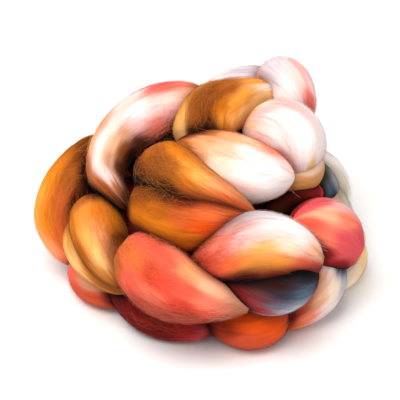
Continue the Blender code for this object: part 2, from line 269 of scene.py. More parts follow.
ALONG_PULL = 0.75        # a dye reaches this much as far round a fold as it does along it
DYE_SOFTNESS = 4.0       # how softly one dye gives way to the next (mm)
DYE_FADE = 2.5           # how fast a dye loses its hold away from its mark
BLEED_REACH = 0.05       # how far along its fold (0 to 1) a dye is dragged by the combing
DRAG_WAVES = (6.0, 6.0, 0.7)   # how often the drag changes round the bundle of fibres and along it
DRAG_ALONG = 0.02        # how far the drag moves a dye's edge along its fold (0 to 1)
DRAG_ROUND = 0.03        # and round it (radians)
TUCK_REACH = 9.0         # wool this close to a neighbouring fold counts as tucked in and gets painted shade, and a flying fibre there is shorter (mm)
NEIGHBOUR_REACH = 1.8    # folds whose middles are this many radii apart, or less, are neighbours
NO_NEIGHBOUR = 99.0      # gap where no fold is near (mm)

# Combing: the fibres turn round a fold's spine, each fold's a little more or less
TWIST = 0.25             # mean turn from end to end (radians)
TWIST_VARIES = 0.5       # and up to this much more or less
TWIST_STEP = 2.4         # how the turn changes from one fold to the next (radians)
GRAIN_PITCH = 40.0       # length of fold for one unit of the fibre grain (mm)
GRAIN_STEP = 3.7         # how far on in the grain each next fold starts
SPINE_STEP = 0.01        # short way along a spine (0 to 1) that gives its direction
BEADS = 26               # balls along a fold by which its neighbours find it

# Relief: property with its height, how often it changes round the fibres, and along them
RELIEF = (("lump", 1.4, 1.1), ("ridge", 3.6, 0.8), ("rib", 9.0, 0.9))
CREASE_EASE = 0.12       # share of the fold on which a crease grows in or dies away
CREASE_LEAN = 0.35       # how much of the fibres' turn a crease follows
RELIEF_EASE = 1.3        # relief is whole where the fold is fuller than one part in this

# Loose fibres, in millimetres unless it says otherwise.  Two numbers are the least and the most.
STRAND_STEPS = {"lying": 7, "flying": 5, "curly": 9}    # points along one fibre
STRAND_TAPER = (0.55, 1.0, 1.0, 0.45)    # thickness at its root, twice in its body, and at its tip
LYING_THICKNESS = (0.6, 1.2)             # shares of the fibres' thickness
LOOSE_THICKNESS = (0.5, 0.9)
LYING_LENGTH = (9.0, 26.0)
LYING_HEIGHT = (0.3, 1.6)                # shares of the lift
LYING_ENDS = 0.05                        # how far its ends stand off the fold
LYING_WANDER = 0.16                      # how far it strays round the fold (radians)
LYING_TREMBLE = 0.02                     # and each of its points on its own (radians)
LYING_DYE_SHIFT = 0.05                   # how far along the fold (0 to 1) its dye may come from
LYING_CLEAR = 0.6                        # none starts closer than this to the next fold
LYING_TONE = (-0.35, 0.25)               # deeper or paler than the dye under it
FLYING_CLEAR = 2.6
FLYING_SIDEWAYS = 0.45                   # how far it points across the combing (radians, about)
FLYING_LENGTH = (2.2, 2.0)               # shape and scale of the spread of lengths
FLYING_SHORTEST = 2.0
FLYING_SHORTER = 0.25                    # least share of its length close to the next fold
FLYING_HEIGHT = (1.6, 0.55)              # shape and scale of the spread of heights
FLYING_HIGHEST = 3.2
FLYING_BOW = 2.2                         # how far round its arch it goes (radians)
FLYING_CURL = 1.2
FLYING_ROOT = 0.3                        # how deep its root sits in the fold
STEEPEST_ROOT = -0.1                     # the way out of the fold points no lower: none hang under it
FLYING_TONE = (-0.2, 0.3)
CURL_TURN = (2.0, 8.0)                   # how far a curl winds along its length (radians)
CURL_SIZE = (0.8, 2.8)
CURL_LENGTH = (3.0, 13.0)
CURL_DRIFT = 5.0                         # how far its end strays round the fold
CURL_ROOT = 0.1
CURL_HEIGHT = (0.2, 1.4)
CURL_CLEAR = 0.4
CURL_TONE = (-0.15, 0.15)
FUZZ_SPREAD = 0.6                        # two thirds of the fuzz lie within this share of its spread
FUZZ_OWN_DYE = 0.65                      # share of the fuzz's own dye, the rest is the fold's
SPARE_PLACES = 3.2                       # places tried for each fibre asked for
KEPT_PLACES = 1.35                       # and the most that are kept
HEART_HALF = (78.0, 64.0)                # half sizes of the heap's middle, seen from above
HEART_EDGE = 0.55                        # no fibre starts in this much of it below HEART_TOP
HEART_TOP = 60.0
LOWEST_ROOT = 1.5                        # nor closer than this to the floor


def paint(red, green, blue):
    """A colour given in 0 to 255 as Blender's linear colour."""
    return tuple((c / 255.0 / 12.92) if c / 255.0 <= 0.04045 else ((c / 255.0 + 0.055) / 1.055) ** 2.4
                 for c in (red, green, blue))


def dye(name, description, red, green, blue):
    """A dye as a colour the user can change."""
    return FloatVectorProperty(name=name, description=description, subtype="COLOR", size=3, min=0.0,
                               max=1.0, default=paint(red, green, blue))


class RovingDyes(bpy.types.PropertyGroup):
    """The dyes of the roving."""
    white: dye("White", "Wool left undyed", 252, 242, 240)
    pearl: dye("Pearl", "Greyed pink white", 240, 226, 224)
    blush: dye("Blush", "Palest pink", 247, 212, 203)
    rose_pink: dye("Rose pink", "Pale pink", 240, 184, 180)
    lilac: dye("Lilac", "Greyed lilac white", 216, 204, 210)
    mauve: dye("Mauve", "Greyed pink", 205, 158, 152)
    fawn: dye("Fawn", "Pale brown", 210, 154, 118)
    cream: dye("Cream", "Warm white", 248, 228, 205)
    peach: dye("Peach", "Pale orange", 250, 188, 150)
    straw: dye("Straw", "Pale yellow", 252, 202, 128)
    pale_gold: dye("Pale gold", "Light yellow orange", 248, 178, 90)
    gold: dye("Gold", "Yellow orange", 242, 154, 52)
    marigold: dye("Marigold", "Strong yellow orange", 228, 128, 18)
    honey: dye("Honey", "Brown gold", 222, 140, 58)
    apricot: dye("Apricot", "Light orange", 242, 162, 108)
    amber: dye("Amber", "Deep yellow orange", 206, 114, 16)
    ochre: dye("Ochre", "Brown yellow", 186, 98, 8)
    caramel: dye("Caramel", "Light brown", 174, 90, 26)
    rust: dye("Rust", "Orange brown", 204, 96, 40)
    brown: dye("Brown", "Warm brown", 140, 68, 14)
    umber: dye("Umber", "Dark brown", 98, 42, 10)
    soot: dye("Soot", "Nearly black brown", 56, 18, 6)
    tangerine: dye("Tangerine", "Orange", 244, 116, 56)
    orange: dye("Orange", "Strong orange", 232, 84, 16)
    salmon: dye("Salmon", "Light coral", 245, 130, 102)
    coral: dye("Coral", "Pink orange", 234, 94, 72)
    poppy: dye("Poppy", "Light red", 228, 76, 56)
    red: dye("Red", "Red", 210, 58, 34)
    brick: dye("Brick", "Brown red", 200, 78, 46)
    russet: dye("Russet", "Dark orange brown", 150, 46, 18)
    raspberry: dye("Raspberry", "Pink red", 222, 84, 90)
    crimson: dye("Crimson", "Deep red", 146, 26, 26)
    maroon: dye("Maroon", "Darkest red", 100, 10, 10)
    plum: dye("Plum", "Dark greyed red", 108, 52, 54)
    navy: dye("Navy", "Nearly black blue", 44, 40, 54)
    slate: dye("Slate", "Grey blue", 88, 108, 128)
    silver: dye("Silver", "Pale grey blue", 182, 182, 192)
    stone: dye("Stone", "Pale grey green", 206, 200, 182)
    olive: dye("Olive", "Dark grey green", 70, 68, 54)


class RovingShape(bpy.types.PropertyGroup):
    """Relief of the wool and how finely its folds are made."""
    rings: IntProperty(name="Rings", description="Sections along a front fold", default=58, min=8)
    sides: IntProperty(name="Sides", description="Facets round a front fold", default=96, min=8)
    back_rings: IntProperty(name="Back rings", description="Sections along a back fold", default=46, min=8)
    back_sides: IntProperty(name="Back sides", description="Facets round a back fold", default=80, min=8)
    lump: FloatProperty(name="Lumps", description="Height of the broad swells across a fold",
                        default=0.7 * MM, unit="LENGTH", precision=5)
    ridge: FloatProperty(name="Ridges", description="Height of the combed ridges along a fold",
                         default=0.18 * MM, unit="LENGTH", precision=5)
    rib: FloatProperty(name="Ribs", description="Height of the finest ridges along a fold",
                       default=0.1 * MM, unit="LENGTH", precision=5)


class RovingFibres(bpy.types.PropertyGroup):
    """Loose fibres on the folds."""
    lying: IntProperty(name="Lying fibres", description="Fibres lying along the folds", default=5200, min=0)
    flying: IntProperty(name="Flying fibres", description="Fibres standing off the folds", default=5200,
                        min=0)
    fuzz: FloatProperty(name="Fuzz", description="Share of the curly fuzz that is raised", default=1.0,
                        min=0.0)
    thickness: FloatProperty(name="Thickness", description="Thickness of a loose fibre",
                             default=0.12 * MM, unit="LENGTH", precision=5)
    lift: FloatProperty(name="Lift", description="How far a lying fibre stands off its fold",
                        default=0.55 * MM, unit="LENGTH", precision=5)
    seed: IntProperty(name="Seed", description="Another seed lays the fibres another way", default=7)


class RovingStage(bpy.types.PropertyGroup):
    """Floor, lights and camera."""
    floor: FloatVectorProperty(name="Floor", description="Colour of the floor", subtype="COLOR", size=3,
                               min=0.0, max=1.0, default=(0.94, 0.94, 0.94))
    key_power: FloatProperty(name="Key light", description="Power of the soft light above", default=27.0,
                             unit="POWER")
    fill: FloatProperty(name="Fill light", description="Strength of the light from all round", default=0.62)
    elevation: FloatProperty(name="Elevation", description="Camera's angle above the floor",
                             default=math.radians(35.0), subtype="ANGLE")
    distance: FloatProperty(name="Distance", description="From the camera to the heap", default=0.8,
                            unit="LENGTH")
    lens: FloatProperty(name="Lens", description="Focal length in millimetres", default=114.3)


# ---------------------------------------------------------------- shape of a fold

def through(points, t):
    """Places at t (0 to 1, an array) on a smooth line through the points."""
    points = np.asarray(points, float)
    padded = np.vstack((points[0] * 2.0 - points[1], points, points[-1] * 2.0 - points[-2]))
    last = len(points) - 1
    at = np.clip(t, 0.0, 1.0) * last
    k = np.minimum(at.astype(int), last - 1)
    u = (at - k)[..., None]
    p0, p1, p2, p3 = padded[k], padded[k + 1], padded[k + 2], padded[k + 3]
    return 0.5 * (p1 * 2.0 + (p2 - p0) * u + (p0 * 2.0 - p1 * 5.0 + p2 * 4.0 - p3) * u * u
                  + (p1 * 3.0 - p0 - p2 * 3.0 + p3) * u ** 3)


def swell(t, belly, start, end):
    """How full a fold is at t: none at the ends, 1 at the belly."""
    warped = np.clip(t, 1e-6, 1.0 - 1e-6) ** (math.log(0.5) / math.log(belly))
    bow = np.maximum(0.0, 1.0 - (2.0 * warped - 1.0) ** 2)
    return bow ** np.where(warped < 0.5, start, end)


def unit(vectors):
    """The vectors, each made one long."""
    return vectors / np.maximum(np.linalg.norm(vectors, axis=-1, keepdims=True), 1e-9)


class Fold:
    """One fold of the chain, in millimetres."""

    def __init__(self, number, name, path, width, depth, belly, start, end):
        self.number, self.name = number, name
        self.path = np.array(path, float)
        self.width, self.depth = float(width), float(depth)
        self.belly, self.start, self.end = belly, start, end
        self.length = float(np.linalg.norm(np.diff(self.path, axis=0), axis=1).sum())
        self.radius = (self.width + self.depth) / 4.0
        self.twist = TWIST_VARIES * math.sin(number * TWIST_STEP) + TWIST
        self.creases = [row[1:] for row in CREASES if row[0] == name]
        samples = np.linspace(0.02, 0.98, BEADS)
        self.beads = through(self.path, samples)
        self.bead_size = self.radius * swell(samples, belly, start, end)

    def section(self, t):
        """Middle of the fold at t, the way it runs, across it and out of it, and how full it is."""
        here = through(self.path, t)
        along = unit(through(self.path, t + SPINE_STEP) - through(self.path, t - SPINE_STEP))
        out = here - HEART
        out = unit(out - along * (out * along).sum(-1, keepdims=True))
        return here, along, np.cross(along, out), out, swell(t, self.belly, self.start, self.end)

    def surface(self, t, a, lift=0.0):
        """Places on the fold at t and a (radians, a quarter turn is the crest), and the way out of it."""
        here, along, across, out, full = self.section(t)
        c, s = np.cos(a)[..., None], np.sin(a)[..., None]
        away = unit(across * c * self.depth + out * s * self.width)
        full = full[..., None]
        place = here + across * c * (self.width * 0.5) * full + out * s * (self.depth * 0.5) * full
        lift = np.asarray(lift)
        return place + away * (lift[..., None] if lift.ndim else lift), away, along

    def combing(self, t, a):
        """Where each place is in the fold's bundle of fibres: which fibre, and how far along it."""
        turned = a + self.twist * (t - 0.5)
        onward = t * self.length / GRAIN_PITCH + self.number * GRAIN_STEP
        return np.stack((np.cos(turned), np.sin(turned), onward), -1)

    def relief(self, t, a, fibre, shape):
        """Height of the combed ridges and creases, in millimetres."""
        height = np.zeros(t.shape)
        for key, round_it, along_it in RELIEF:
            at = fibre * np.array((round_it, round_it, along_it))
            waves = [noise.noise(Vector(p)) for p in at.reshape(-1, 3)]
            height += np.array(waves).reshape(t.shape) * getattr(shape, key) / MM
        for around, spread, depth, begin, finish in self.creases:
            lean = CREASE_LEAN * self.twist * (t - 0.5)
            off = np.angle(np.exp(1j * (a - math.radians(90 - around) + lean)))
            grown = np.clip((t - begin) / CREASE_EASE, 0.0, 1.0)
            window = grown * np.clip((finish - t) / CREASE_EASE, 0.0, 1.0)
            height -= depth * window * np.exp(-(off / math.radians(spread)) ** 2)
        return height * np.minimum(1.0, swell(t, self.belly, self.start, self.end) * RELIEF_EASE)


class Core(Fold):
    """A ball of packed wool, in millimetres."""

    def __init__(self, number, name, centre, half):
        x, y, z = centre
        super().__init__(number, name, [(x - half[0], y, z), (x, y, z), (x + half[0], y, z)],
                         2.0 * half[1], 2.0 * half[2], 0.5, 0.5, 0.5)
        self.half_height = half[2]

    def section(self, t):
        here = through(self.path, t)
        along = np.broadcast_to((1.0, 0.0, 0.0), here.shape)
        out = np.broadcast_to((0.0, 0.0, 1.0), here.shape)
        return here, along, np.cross(along, out), out, swell(t, self.belly, self.start, self.end)


def back_folds():
    """The leaning folds round the back, as rows like those of the front."""
    rows = []
    for name, middle, ring, bearings, count, sweep, heights, width, depth in BACK_ROWS:
        for k in range(count):
            first = bearings[0] + (bearings[1] - bearings[0]) * k / (count - 1)
            path = []
            for part, reach in ((0.0, TUCK), (0.5, 1.0), (1.0, 0.96)):
                a = math.radians(first - sweep * part)
                path.append((middle[0] + ring[0] * reach * math.cos(a),
                             middle[1] + ring[1] * reach * math.sin(a),
                             heights[0] + (heights[1] - heights[0]) * part))
            rows.append((f"{name}_{k}", path, width, depth, BACK_BELLY, BACK_START, BACK_END))
    return rows


CROWN = [Fold(k, *row) for k, row in enumerate(CROWN_FOLDS)]
RIM = [Fold(k + 20, *row) for k, row in enumerate(RIM_FOLDS)]
BACK = [Fold(k + 40, *row) for k, row in enumerate(back_folds())]
PACKED = [Core(k + 60, *row) for k, row in enumerate(CORES)]


def nearness(fold, places, others):
    """How far each place is from the next fold (mm), less than nothing where that fold covers it."""
    gap = np.full(len(places), NO_NEIGHBOUR)
    for other in others:
        if other is fold or isinstance(other, Core):
            continue
        near = (np.abs(other.beads[:, None, :] - fold.beads[None, :, :]).sum(-1)
                < (other.radius + fold.radius) * NEIGHBOUR_REACH).any()
        if not near:
            continue
        for bead, size in zip(other.beads, other.bead_size):
            gap = np.minimum(gap, np.linalg.norm(places - bead, axis=1) - size)
    return gap


def tucked(gap):
    """How deep wool is tucked in, which sets the strength of its painted shade: 0 in the open, 1 where a
    neighbour touches it or covers it.
    """
    return np.clip(1.0 - gap / TUCK_REACH, 0.0, 1.0)


def fold_dye(fold, t, a, colours):
    """The dye at each place of a fold, mixed from the runs it lies between."""
    total = np.zeros(t.shape)
    mixed = np.zeros(t.shape + (3,))
    for along, around, name in DYE_RUNS[fold.name]:
        off = np.angle(np.exp(1j * (a - math.radians(90 - around)))) * fold.radius
        run = (t - along) * fold.length * ALONG_PULL
        weight = 1.0 / (off ** 2 + run ** 2 + DYE_SOFTNESS ** 2) ** DYE_FADE
        total += weight
        mixed += weight[..., None] * np.array(colours[name])
    return mixed / total[..., None]


def dye_and_bleed(fold, t, a, fibre, colours):
    """The dye at each place, and the dye that the combing has dragged along to it."""
    flat = fibre.reshape(-1, 3) * np.array(DRAG_WAVES)
    drag = np.array([noise.noise(Vector(p)) for p in flat]).reshape(t.shape)
    shift = t + drag * DRAG_ALONG
    turn = a + np.roll(drag, 7) * DRAG_ROUND
    return (fold_dye(fold, shift, turn, colours),
            fold_dye(fold, shift + np.where(drag > 0.0, BLEED_REACH, -BLEED_REACH), turn, colours))


def dye_table(scene):
    """The user's dyes by name."""
    return {key: tuple(getattr(scene.roving_dyes, key)) for key in RovingDyes.__annotations__}


# ---------------------------------------------------------------- meshes

TILE_FILL = 0.97         # how much of its square a fold fills on the bake map
STRAND_FILL = 0.9        # and a fibre
STRAND_MARGIN = 0.05


def wool_mesh(name, folds, rings, sides, shape, colours):
    """All these folds as one mesh of closed shells, with its dyes, fibre directions and painted shade."""
    places, faces, fibres, dyes, bleeds, painted_shades, corners = [], [], [], [], [], [], []
    everyone = CROWN + RIM + BACK
    tiles = math.ceil(math.sqrt(len(folds)))
    base = 0
    t_rows = 0.5 - 0.5 * np.cos(np.pi * np.arange(0, rings + 1) / rings)
    a_cols = 2.0 * np.pi * np.arange(sides) / sides
    t, a = np.meshgrid(t_rows, a_cols, indexing="ij")
    for k, fold in enumerate(folds):
        fibre = fold.combing(t, a)
        where, _, _ = fold.surface(t, a, fold.relief(t, a, fibre, shape))
        where[..., 2] = np.maximum(where[..., 2], 0.0)
        where[0] = where[0].mean(axis=0)
        where[-1] = where[-1].mean(axis=0)
        colour, bleed = dye_and_bleed(fold, t, a, fibre, colours)
        gap = nearness(fold, where.reshape(-1, 3), everyone).reshape(t.shape)
        # painted shade: the nearer a neighbouring fold, the darker the shader makes the wool here
        painted_shade = tucked(gap) ** 2

        def rows_of(array):
            """One value for each point: a single one at either pole."""
            width = array.shape[2] if array.ndim == 3 else 1
            flat = array.reshape(rings + 1, sides, width)
            return np.concatenate((flat[0, :1], flat[1:-1].reshape(-1, width), flat[-1, :1]))

        places.append(rows_of(where))
        fibres.append(rows_of(fibre))
        dyes.append(rows_of(colour))
        bleeds.append(rows_of(bleed))
        painted_shades.append(rows_of(painted_shade))

        def point(i, j):
            """Number of the point at ring i and side j, with one point for each pole."""
            if i == 0:
                return base
            if i == rings:
                return base + 1 + (rings - 1) * sides
            return base + 1 + (i - 1) * sides + j % sides

        left, low = (k % tiles) / tiles, (k // tiles) / tiles
        size = TILE_FILL / tiles

        def corner(i, j):
            """Place of that point on the bake map."""
            return (left + size * j / sides, low + size * i / rings)

        for i in range(rings):
            for j in range(sides):
                if i == 0:
                    faces.append((point(0, 0), point(1, j), point(1, j + 1)))
                    corners += (corner(0, j + 0.5), corner(1, j), corner(1, j + 1))
                elif i == rings - 1:
                    faces.append((point(rings, 0), point(i, j + 1), point(i, j)))
                    corners += (corner(rings, j + 0.5), corner(i, j + 1), corner(i, j))
                else:
                    faces.append((point(i, j), point(i + 1, j), point(i + 1, j + 1), point(i, j + 1)))
                    corners += (corner(i, j), corner(i + 1, j), corner(i + 1, j + 1), corner(i, j + 1))
        base += 2 + (rings - 1) * sides
    return finished_mesh(name, np.concatenate(places) * MM, faces, corners, np.concatenate(fibres),
                         np.concatenate(dyes), np.concatenate(bleeds), np.concatenate(painted_shades).ravel())


def finished_mesh(name, places, faces, corners, fibres, dyes, bleeds, painted_shades):
    """A smooth piece at the origin, with its attributes and its bake map."""
    mesh = bpy.data.meshes.new(name)
    mesh.from_pydata(places.tolist(), [], faces)
    layer = mesh.uv_layers.new(name="OFBake")
    layer.uv.foreach_set("vector", np.array(corners, np.float32).ravel())
    fibre = mesh.attributes.new("fibre", "FLOAT_VECTOR", "POINT")
    fibre.data.foreach_set("vector", fibres.astype(np.float32).ravel())
    for key, colours in (("dye", dyes), ("bleed", bleeds)):
        layer = mesh.attributes.new(key, "FLOAT_COLOR", "POINT")
        full = np.ones((len(colours), 4), np.float32)
        full[:, :3] = colours
        layer.data.foreach_set("color", full.ravel())
    # strength of the painted shade at each point, read by the shader
    painted_shade = mesh.attributes.new("painted_shade", "FLOAT", "POINT")
    painted_shade.data.foreach_set("value", painted_shades.astype(np.float32))
    mesh.shade_smooth()
    mesh.update()
    piece = bpy.data.objects.new(name, mesh)
    bpy.context.scene.collection.objects.link(piece)
    return piece


def fibre_mesh(name, lines, thick, dyes, fibres, painted_shades):
    """Fine tapered strands, three-sided and closed: lines is strands x points x 3, in millimetres."""
    count, steps = lines.shape[0], lines.shape[1]
    along = unit(np.gradient(lines, axis=1))
    side = unit(np.cross(along, np.array((0.31, 0.52, 0.79))))
    over = np.cross(along, side)
    faces, corners = [], []
    inner = steps - 2
    per = inner * 3 + 2
    rings = np.empty((count, inner, 3, 3))
    taper = np.interp(np.linspace(0, 1, steps)[1:-1], (0.0, 0.3, 0.7, 1.0), STRAND_TAPER)
    reach = (thick[:, None] * taper[None, :])[..., None]
    for j in range(3):
        a = 2.0 * math.pi * j / 3.0
        rings[:, :, j] = lines[:, 1:-1] + (side[:, 1:-1] * math.cos(a) + over[:, 1:-1] * math.sin(a)) * reach
    places = np.concatenate((lines[:, :1], rings.reshape(count, -1, 3), lines[:, -1:]), axis=1)
    places[..., 2] = np.maximum(places[..., 2], 0.02)
    pattern, spots = [], []
    for i in range(steps - 1):
        for j in range(3):
            n = (j + 1) % 3
            if i == 0:
                pattern.append((0, 1 + n, 1 + j))
                spots += ((j + 0.5, 0), (j + 1, 1), (j, 1))
            elif i == steps - 2:
                low = 1 + (i - 1) * 3
                pattern.append((per - 1, low + j, low + n))
                spots += ((j + 0.5, i + 1), (j, i), (j + 1, i))
            else:
                low, high = 1 + (i - 1) * 3, 1 + i * 3
                pattern.append((low + j, low + n, high + n, high + j))
                spots += ((j, i), (j + 1, i), (j + 1, i + 1), (j, i + 1))
    cells = math.ceil(math.sqrt(count))
    spots = np.array(spots, float) / np.array((3.0, steps - 1.0)) * STRAND_FILL + STRAND_MARGIN
    for k in range(count):
        faces += [tuple(v + k * per for v in face) for face in pattern]
        corners.append((spots + np.array((k % cells, k // cells))) / cells)
    fibres, dyes, painted_shades = (np.repeat(values, per, axis=0) for values in (fibres, dyes, painted_shades))
    return finished_mesh(name, places.reshape(-1, 3) * MM, faces, np.concatenate(corners), fibres,
                         dyes, dyes, painted_shades)


def gathered(strands):
    """The strands of all folds together: lines, thicknesses, dyes, fibre directions and painted shade."""
    return [np.concatenate(part) for part in zip(*strands)]


def toned(rng, dyes, tone):
    """These dyes, each a little deeper or paler."""
    return np.clip(dyes * (1.0 + rng.uniform(*tone, len(dyes))[:, None]), 0.0, 1.0)


def open_spots(rng, count, clear):
    """Random places on the folds at least clear (mm) from the next fold: (fold, t, a, gap) groups."""
    folds = CROWN + RIM + BACK
    areas = np.array([fold.length * fold.radius for fold in folds])
    shares = areas / areas.sum()
    for fold, share in zip(folds, shares):
        wanted = int(round(count * share * SPARE_PLACES))
        t = rng.uniform(0.06, 0.94, wanted)
        a = rng.uniform(0.0, 2.0 * np.pi, wanted)
        places, _, _ = fold.surface(t, a)
        gap = nearness(fold, places, folds)
        inner = ((places[:, :2] / np.array(HEART_HALF)) ** 2).sum(1) < HEART_EDGE
        buried = inner & (places[:, 2] < HEART_TOP)
        keep = (gap > clear) & (places[:, 2] > LOWEST_ROOT) & ~buried
        few = int(round(count * share * KEPT_PLACES))
        if keep.any():
            yield fold, t[keep][:few], a[keep][:few], gap[keep][:few]


def lying_fibres(rng, loose, colours):
    """Fibres that follow their fold and stand a little off it."""
    steps = STRAND_STEPS["lying"]
    strands = []
    for fold, t, a, gap in open_spots(rng, loose.lying, LYING_CLEAR):
        n = len(t)
        reach = rng.uniform(*LYING_LENGTH, n) / fold.length
        s = np.linspace(-0.5, 0.5, steps)[None, :]
        tt = np.clip(t[:, None] + s * reach[:, None], 0.01, 0.99)
        drift = rng.normal(0.0, LYING_WANDER, n)[:, None] * s + rng.normal(0.0, LYING_TREMBLE, (n, steps))
        aa = a[:, None] - fold.twist * (tt - t[:, None]) + drift
        high = rng.uniform(*LYING_HEIGHT, n)[:, None] * loose.lift / MM
        where, _, _ = fold.surface(tt, aa, np.sin(np.pi * (s + 0.5)) * high + LYING_ENDS)
        thick = rng.uniform(*LYING_THICKNESS, n) * loose.thickness / MM * 0.5
        under = fold_dye(fold, t + rng.normal(0.0, LYING_DYE_SHIFT, n), a, colours)
        # the last part is the strength of the painted shade
        strands.append((where, thick, toned(rng, under, LYING_TONE), fold.combing(t, a), tucked(gap)))
    return gathered(strands)


def flying_fibres(rng, loose, colours):
    """Fibres that have worked loose and stand off the wool."""
    steps = STRAND_STEPS["flying"]
    strands = []
    for fold, t, a, gap in open_spots(rng, loose.flying, FLYING_CLEAR):
        _, away, _ = fold.surface(t, a)
        facing = away[:, 2] > STEEPEST_ROOT
        t, a, gap, n = t[facing], a[facing], gap[facing], int(facing.sum())
        root, away, along = fold.surface(t, a)
        side = np.cross(along, away)
        onward = along * rng.choice((-1.0, 1.0), n)[:, None]
        way = unit(onward + side * rng.normal(0.0, FLYING_SIDEWAYS, n)[:, None])
        room = np.clip(gap / TUCK_REACH, FLYING_SHORTER, 1.0)
        long = (rng.gamma(*FLYING_LENGTH, n) + FLYING_SHORTEST) * room
        high = np.minimum(rng.gamma(*FLYING_HEIGHT, n), FLYING_HIGHEST)
        curl = rng.normal(0.0, FLYING_CURL, n)
        s = np.linspace(0.0, 1.0, steps)[None, :, None]
        where = (root[:, None] - away[:, None] * FLYING_ROOT + way[:, None] * long[:, None, None] * s
                 + away[:, None] * high[:, None, None] * np.sin(s * FLYING_BOW)
                 + side[:, None] * curl[:, None, None] * s * s)
        thick = rng.uniform(*LOOSE_THICKNESS, n) * loose.thickness / MM * 0.5
        dyes = toned(rng, fold_dye(fold, t, a, colours), FLYING_TONE)
        # the last part is the strength of the painted shade, halved
        strands.append((where, thick, dyes, fold.combing(t, a), tucked(gap) * 0.5))
    return gathered(strands)


def curly_fibres(rng, loose, colours):
    """Short curls of wool, raised by rubbing, over parts of some folds."""
    steps = STRAND_STEPS["curly"]
    shown = {fold.name: fold for fold in CROWN + RIM}
    strands = []
    for name, along, around, far, wide, wanted, tone in FUZZ:
        fold, n = shown[name], int(round(wanted * loose.fuzz))
        t = np.clip(rng.normal(along, far * FUZZ_SPREAD, n), 0.04, 0.96)
        a = np.radians(90.0 - rng.normal(around, wide * FUZZ_SPREAD, n))
        s = np.linspace(0.0, 1.0, steps)[None, :]
        turn = rng.uniform(0.0, 2.0 * np.pi, n)[:, None] + s * rng.uniform(*CURL_TURN, n)[:, None]
        curl = rng.uniform(*CURL_SIZE, n)[:, None]
        reach = rng.uniform(*CURL_LENGTH, n)[:, None] * rng.choice((-1.0, 1.0), n)[:, None]
        tt = np.clip(t[:, None] + (s * reach + np.sin(turn) * curl) / fold.length, 0.02, 0.98)
        stray = s * rng.normal(0.0, CURL_DRIFT, n)[:, None]
        aa = a[:, None] + (np.cos(turn) * curl + stray) / fold.radius
        rise = CURL_ROOT + np.sin(np.pi * s) * rng.uniform(*CURL_HEIGHT, n)[:, None]
        where, _, _ = fold.surface(tt, aa, rise)
        gap = nearness(fold, where[:, steps // 2], CROWN + RIM)
        thick = rng.uniform(*LOOSE_THICKNESS, n) * loose.thickness / MM * 0.5
        mixed = fold_dye(fold, t, a, colours) * (1.0 - FUZZ_OWN_DYE) + np.array(colours[tone]) * FUZZ_OWN_DYE
        dyes = toned(rng, mixed, CURL_TONE)
        keep = gap > CURL_CLEAR
        # the last part is the strength of the painted shade, a fifth of it
        parts = (where, thick, dyes, fold.combing(t, a), tucked(gap) * 0.2)
        strands.append([part[keep] for part in parts])
    return gathered(strands)


# ---------------------------------------------------------------- materials

def new_group(name, inputs, outputs):
    """A shader node group with named sockets."""
    tree = bpy.data.node_groups.new(name, "ShaderNodeTree")
    for label, kind, value in inputs:
        socket = tree.interface.new_socket(label, in_out="INPUT", socket_type=kind)
        if value is not None:
            socket.default_value = value
    for label, kind in outputs:
        tree.interface.new_socket(label, in_out="OUTPUT", socket_type=kind)
    return tree, tree.nodes.new("NodeGroupInput"), tree.nodes.new("NodeGroupOutput")


def fibre_noise(tree, vector, around, along, detail=2.0, rough=0.55):
    """Noise drawn out along the fibres."""
    spread = tree.nodes.new("ShaderNodeVectorMath")
    spread.operation = "MULTIPLY"
    spread.inputs[1].default_value = (around, around, along)
    tree.links.new(vector, spread.inputs[0])
    grain = tree.nodes.new("ShaderNodeTexNoise")
    grain.inputs["Scale"].default_value = 1.0
    grain.inputs["Detail"].default_value = detail
    grain.inputs["Roughness"].default_value = rough
    tree.links.new(spread.outputs[0], grain.inputs["Vector"])
    return grain.outputs["Fac"]


def remap(tree, value, low, high, to_low, to_high):
    """The value moved from one range to another."""
    node = tree.nodes.new("ShaderNodeMapRange")
    node.inputs["From Min"].default_value = low
    node.inputs["From Max"].default_value = high
    node.inputs["To Min"].default_value = to_low
    node.inputs["To Max"].default_value = to_high
    tree.links.new(value, node.inputs["Value"])
    return node.outputs["Result"]


def feed(tree, socket, value):
    """Link this socket, or set it where the value is a plain one."""
    if isinstance(value, bpy.types.NodeSocket):
        tree.links.new(value, socket)
    else:
        socket.default_value = value


def math_node(tree, operation, first, second):
    """One sum on two values."""
    node = tree.nodes.new("ShaderNodeMath")
    node.operation = operation
    feed(tree, node.inputs[0], first)
    feed(tree, node.inputs[1], second)
    return node.outputs[0]


def mix_colour(tree, kind, factor, first, second):
    """Two colours mixed."""
    node = tree.nodes.new("ShaderNodeMix")
    node.data_type = "RGBA"
    node.blend_type = kind
    feed(tree, node.inputs["Factor"], factor)
    feed(tree, node.inputs[6], first)
    feed(tree, node.inputs[7], second)
    return node.outputs[2]


LIGHT_LOCK = (1.9, 1.9, 1.9, 1.0)        # a light lock's dye is multiplied by up to this
DARK_LOCK = -2.0                         # dark locks are twice as strong, and the sign picks them out
DARK_WOOL_SHADE = (0.80, 0.58, 0.56, 1.0)      # tint of the painted shade where dark wool is tucked in
PALE_WOOL_SHADE = (1.0, 0.88, 0.86, 1.0)       # and where pale wool is


